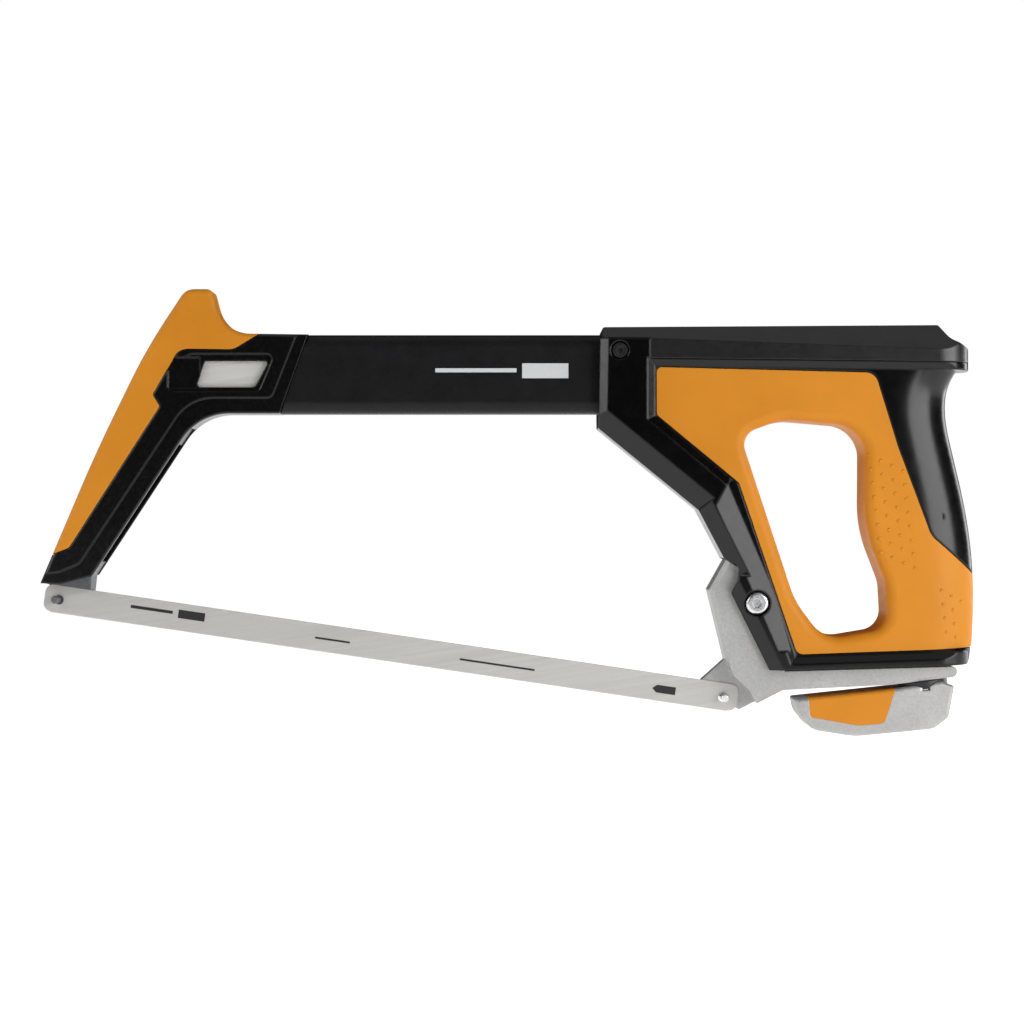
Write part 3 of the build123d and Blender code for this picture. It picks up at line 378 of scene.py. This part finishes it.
def prism(bm, corners, out, thickness):
    """A closed flat prism: the corners lie in one plane, out points away from the surface."""
    low = [bm.verts.new(corner) for corner in corners]
    high = [bm.verts.new(corner + out * thickness) for corner in corners]
    bm.faces.new(low)
    bm.faces.new(list(reversed(high)))
    side_faces(bm, low, high)


def blade_point(along, up):
    """A point on the blade's left face, from the front hole and the blade's middle line."""
    x_dir = Vector((math.cos(BLADE_SLOPE), 0, -math.sin(BLADE_SLOPE)))
    z_dir = Vector((math.sin(BLADE_SLOPE), 0, math.cos(BLADE_SLOPE)))
    return (BLADE_START + x_dir * along + z_dir * up + LEFT * BLADE_HALF_THICKNESS) * MM


def box(left, right, low, high):
    return [(left, low), (right, low), (right, high), (left, high)]


# Plain marks in millimetres, along the blade and up from its middle line.
BLADE_BAR = box(32.2, 51.2, 1.0, 2.4)
BLADE_BLOCK = box(53.7, 65.7, -0.4, 3.4)
THIN_BARS = (box(115.7, 131.5, -0.6, 0.3), box(181.2, 215.0, -0.8, 0.1))
ARROW = [(278.7, -2.35), (270.2, -2.35), (268.2, -0.6), (270.2, 1.15), (278.7, 1.15)]

# The same on the tube, in X and Z.
TUBE_BAR = box(-32.5, 3.5, 161.2, 163.0)
TUBE_BLOCK = box(6.0, 26.5, 158.6, 165.2)


def blade_marks(bm):
    """Bars and a block along the blade, an arrow near the rear."""
    for shape in (BLADE_BAR, BLADE_BLOCK, *THIN_BARS, ARROW):
        prism(bm, [blade_point(along, up) for along, up in shape], LEFT, PRINT_THICKNESS)


new_piece("blade_marks", blade_marks, ink_dark, "blade")


def tube_mark(bm):
    """A plain pale bar and block where a maker would print a name."""
    for shape in (TUBE_BAR, TUBE_BLOCK):
        corners = [Vector((x, -TUBE_HALF_WIDTH, z)) * MM for x, z in shape]
        prism(bm, corners, LEFT, PRINT_THICKNESS)


new_piece("tube_mark", tube_mark, ink_pale, "frame")


# Rows of low domes on the orange rubber, where fingers and the heel of the hand press; the
# numbers are in millimetres.
DOT_RADIUS = 0.85
DOT_HEIGHT = 0.28
DOT_SIDES = 12
DOT_RINGS = ((1.0, -0.15), (0.86, 0.45), (0.5, 0.9))  # shares of the radius and of the height
DOT_ROW = (0.75, -6.1)  # from one dome to the one below, in X and Z
DOT_FACING = 0.55  # no dome where the surface turns further away from the side than this
DOT_DEPTH = 10  # no dome where the surface lies nearer to the saw plane than this
RAY_START = 30  # where the search for the surface starts, outside the grip
FINGER_FIELD = {"start": (163.9, 121.9), "column": (5.0, -2.3), "rows": 8, "columns": (-1, 0, 1, 2)}
HEEL_FIELD = {"start": (195.6, 62.1), "column": (4.6, -2.5), "rows": 4, "columns": (-1, 0, 1)}


def dome(bm, centre, normal):
    """A low round cap that stands on the surface."""
    side = normal.orthogonal().normalized()
    other = normal.cross(side)
    rings = []
    for share, height in DOT_RINGS:
        ring = []
        for i in range(DOT_SIDES):
            turn = 2 * math.pi * i / DOT_SIDES
            spoke = side * math.cos(turn) + other * math.sin(turn)
            offset = spoke * DOT_RADIUS * share + normal * DOT_HEIGHT * height
            ring.append(bm.verts.new(centre + offset * MM))
        rings.append(ring)
    for low, high in zip(rings, rings[1:]):
        side_faces(bm, low, high)
    bm.faces.new(rings[-1])
    bm.faces.new(list(reversed(rings[0])))


def grip_dots(node, side):
    """All domes of one side; side is -1 on the left and 1 on the right."""
    mesh = nodes[node].data
    surface = BVHTree.FromPolygons(
        [v.co for v in mesh.vertices], [tuple(p.vertices) for p in mesh.polygons]
    )

    def make(bm):
        for field in (FINGER_FIELD, HEEL_FIELD):
            for column in field["columns"]:
                for row in range(field["rows"]):
                    x = field["start"][0] + DOT_ROW[0] * row + field["column"][0] * column
                    z = field["start"][1] + DOT_ROW[1] * row + field["column"][1] * column
                    above = Vector((x, side * RAY_START, z)) * MM
                    hit, normal, _, _ = surface.ray_cast(above, Vector((0, -side, 0)))
                    if hit is None or abs(normal.y) < DOT_FACING or side * hit.y < DOT_DEPTH * MM:
                        continue
                    outward = normal if side * normal.y > 0 else -normal
                    dome(bm, hit, outward)

    return make


for name, node, side in (
    ("grip_dots_left", "handle_grip_left", -1),
    ("grip_dots_right", "handle_grip_right", 1),
):
    rubber = materials["orange_rubber"]
    new_piece(name, grip_dots(node, side), rubber, "frame", smooth=True)


# ---------------------------------------------------------------- studio
WHITE = grey(1)
ROOM_GLOW = 0.03
WALL_GLOW = 1.0

# The floor reaches this far in metres; its front edge lies between the saw and the camera.
FLOOR_SIDE = 3
FLOOR_FRONT = -0.62
FLOOR_BACK = 5
FLOOR_GLOW = 0.86

# Each soft box: name, place, the point it faces, width, height and power in watts.
SOFT_BOXES = (
    ("key_left", (-1.5, -1.5, 1.0), (0, 0, 0.1), 1.0, 1.0, 10),
    ("key_right", (1.18, -0.92, 0.36), (0.1, 0, 0.1), 1.2, 0.8, 18),
    ("side_left", (-1.25, -0.15, 0.6), (0, 0, 0.12), 0.5, 0.9, 6),
    ("rim_right", (1.2, 0.7, 0.3), (0.2, 0, 0.12), 0.4, 0.9, 5),
)
CEILING_DIRECTION = (0, 0.1, -1)
CEILING_STRENGTH = 0.4
CEILING_ANGLE = math.radians(60)

CAMERA_PLACE = (0.0015, -1.0, 0.0993)
CAMERA_LENS = 78.6
CAMERA_SENSOR = 36


def studio_world():
    """A dim room whose far wall is seen as white."""
    world = bpy.data.worlds.new("studio")
    world.use_nodes = True
    tree = world.node_tree
    room = tree.nodes["Background"]
    room.inputs["Color"].default_value = WHITE
    room.inputs["Strength"].default_value = ROOM_GLOW
    wall = tree.nodes.new("ShaderNodeBackground")
    wall.inputs["Color"].default_value = WHITE
    wall.inputs["Strength"].default_value = WALL_GLOW
    seen = tree.nodes.new("ShaderNodeLightPath").outputs["Is Camera Ray"]
    mix = tree.nodes.new("ShaderNodeMixShader")
    tree.links.new(seen, mix.inputs["Fac"])
    tree.links.new(room.outputs["Background"], mix.inputs[1])
    tree.links.new(wall.outputs["Background"], mix.inputs[2])
    tree.links.new(mix.outputs["Shader"], tree.nodes["World Output"].inputs["Surface"])
    return world


def stage_floor():
    """A pale floor that the saw's lever stands on."""
    mesh = bpy.data.meshes.new("floor")
    corners = [(x, y, 0) for x, y in box(-FLOOR_SIDE, FLOOR_SIDE, FLOOR_FRONT, FLOOR_BACK)]
    mesh.from_pydata(corners, [], [(0, 1, 2, 3)])
    made = bpy.data.objects.new("floor", mesh)
    scene.collection.objects.link(made)
    g = Graph("floor")
    g.put(g.bsdf.inputs["Emission Color"], WHITE)
    g.put(g.bsdf.inputs["Emission Strength"], FLOOR_GLOW)
    color = g.clouded(3, 2, grey(0.84), grey(0.88))
    mesh.materials.append(g.finish(color, 0.9, specular=0.0))


def add_light(name, data, direction):
    """Puts a light in the scene that shines in a direction."""
    made = bpy.data.objects.new(name, data)
    made.rotation_mode = "QUATERNION"
    made.rotation_quaternion = Vector(direction).to_track_quat("-Z", "Y")
    scene.collection.objects.link(made)
    return made


def soft_box(name, place, target, width, height, power):
    data = bpy.data.lights.new(name, "AREA")
    data.shape = "RECTANGLE"
    data.size = width
    data.size_y = height
    data.energy = power
    add_light(name, data, Vector(target) - Vector(place)).location = place


def ceiling():
    """Broad, weak light from above."""
    data = bpy.data.lights.new("ceiling", "SUN")
    data.energy = CEILING_STRENGTH
    data.angle = CEILING_ANGLE
    add_light("ceiling", data, CEILING_DIRECTION)


def side_camera():
    """A level camera at the saw's left side."""
    data = bpy.data.cameras.new("camera")
    data.sensor_width = CAMERA_SENSOR
    data.lens = CAMERA_LENS
    camera = bpy.data.objects.new("camera", data)
    camera.location = CAMERA_PLACE
    camera.rotation_euler = (math.radians(90), 0, 0)
    scene.collection.objects.link(camera)
    return camera


scene.view_settings.view_transform = "Standard"
scene.world = studio_world()
stage_floor()
ceiling()
for settings in SOFT_BOXES:
    soft_box(*settings)
scene.camera = side_camera()
